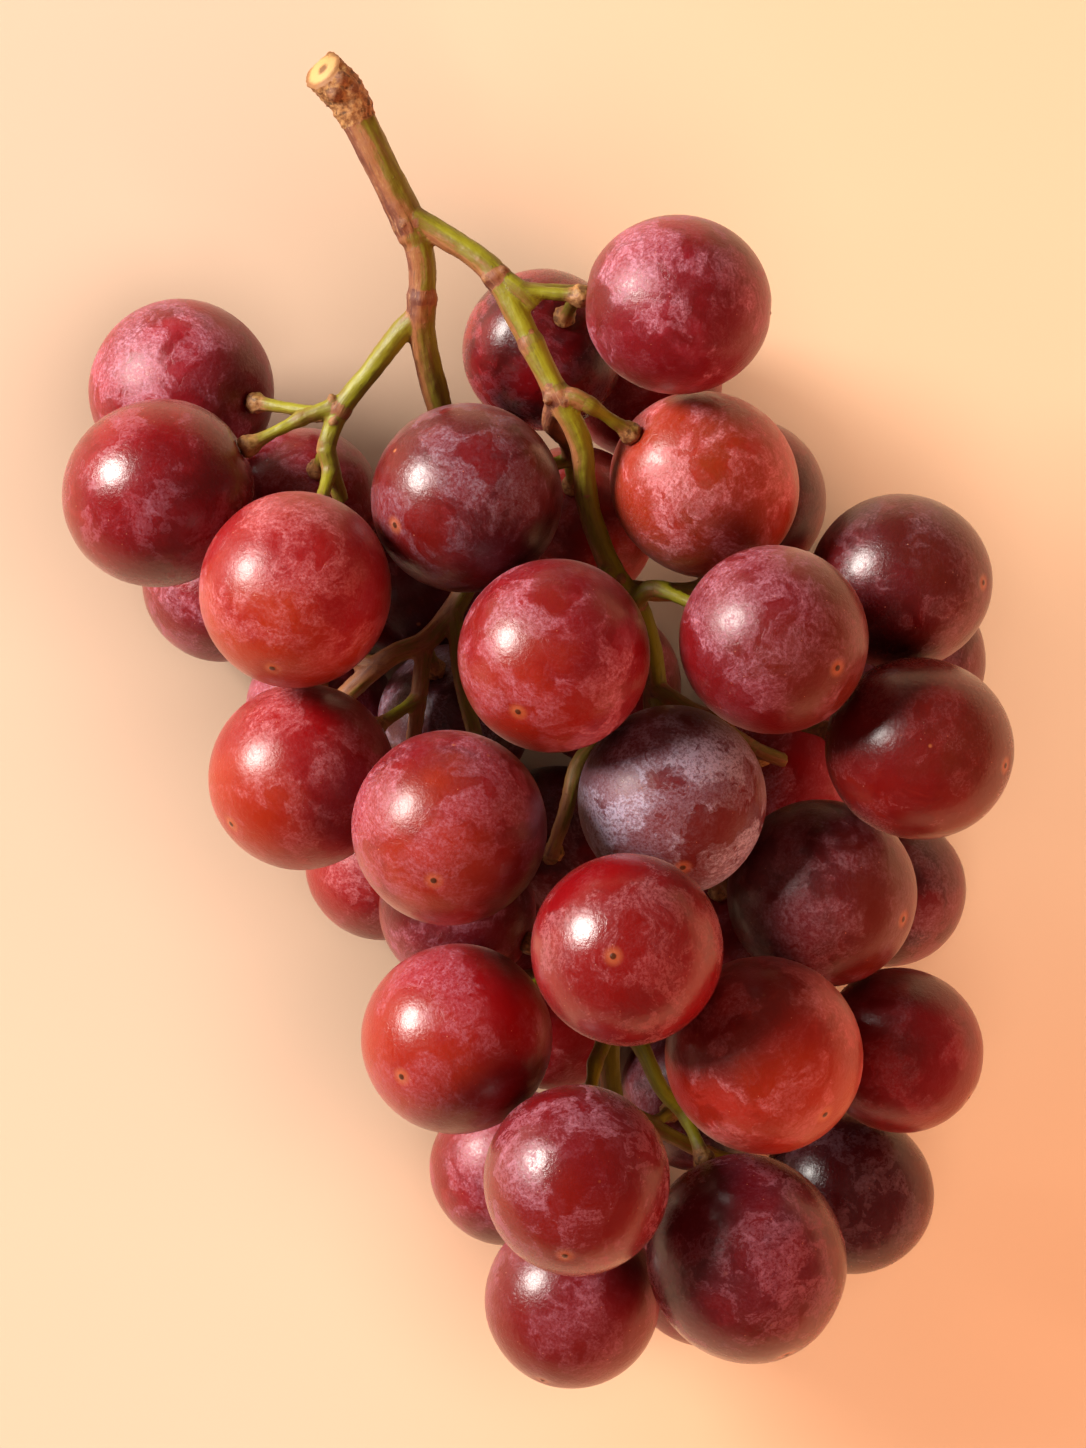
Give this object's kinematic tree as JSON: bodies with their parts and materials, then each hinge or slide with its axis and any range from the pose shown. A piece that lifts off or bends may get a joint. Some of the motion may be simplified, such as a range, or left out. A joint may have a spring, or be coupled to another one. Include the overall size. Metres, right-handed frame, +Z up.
{
  "type": "bunch of grapes",
  "caption": "Bunch of round red table grapes on a branching woody stem with a cut end, lying on its back.",
  "frame": {"origin": "centre of the bunch's box in X and Y, on the surface that it lies on", "axes": "+Y toward the cut end of the stem, +X across the bunch to the right as it is looked down on, +Z up"},
  "size_m": [0.1262, 0.178, 0.0787],
  "materials": {
    "red_skin": "smooth grape skin, crimson to rose red, half covered by pale matt bloom",
    "dark_skin": "smooth grape skin, dark wine red to maroon, with patches of pale matt bloom",
    "stem": "dull green stem, browner and barky toward the cut end"
  },
  "bodies": {
    "root": {"grape_01": "red_skin", "grape_02": "dark_skin", "grape_03": "red_skin", "grape_04": "dark_skin", "grape_05": "red_skin", "grape_06": "dark_skin", "grape_07": "red_skin", "grape_08": "red_skin", "grape_09": "red_skin", "grape_10": "dark_skin", "grape_11": "dark_skin", "grape_12": "red_skin", "grape_13": "red_skin", "grape_14": "red_skin", "grape_15": "dark_skin", "grape_16": "red_skin", "grape_17": "red_skin", "grape_18": "red_skin", "grape_19": "dark_skin", "grape_20": "dark_skin", "grape_21": "red_skin", "grape_22": "dark_skin", "grape_23": "dark_skin", "grape_24": "dark_skin", "grape_25": "red_skin", "grape_26": "red_skin", "grape_27": "red_skin", "grape_28": "red_skin", "grape_29": "red_skin", "grape_30": "red_skin", "grape_31": "dark_skin", "grape_32": "dark_skin", "grape_33": "dark_skin", "grape_34": "red_skin", "grape_35": "red_skin", "grape_36": "red_skin", "grape_37": "red_skin", "grape_38": "red_skin", "grape_39": "dark_skin", "grape_40": "red_skin", "grape_41": "dark_skin", "grape_42": "red_skin", "grape_43": "red_skin", "rachis": "stem"}
  },
  "joints": []
}
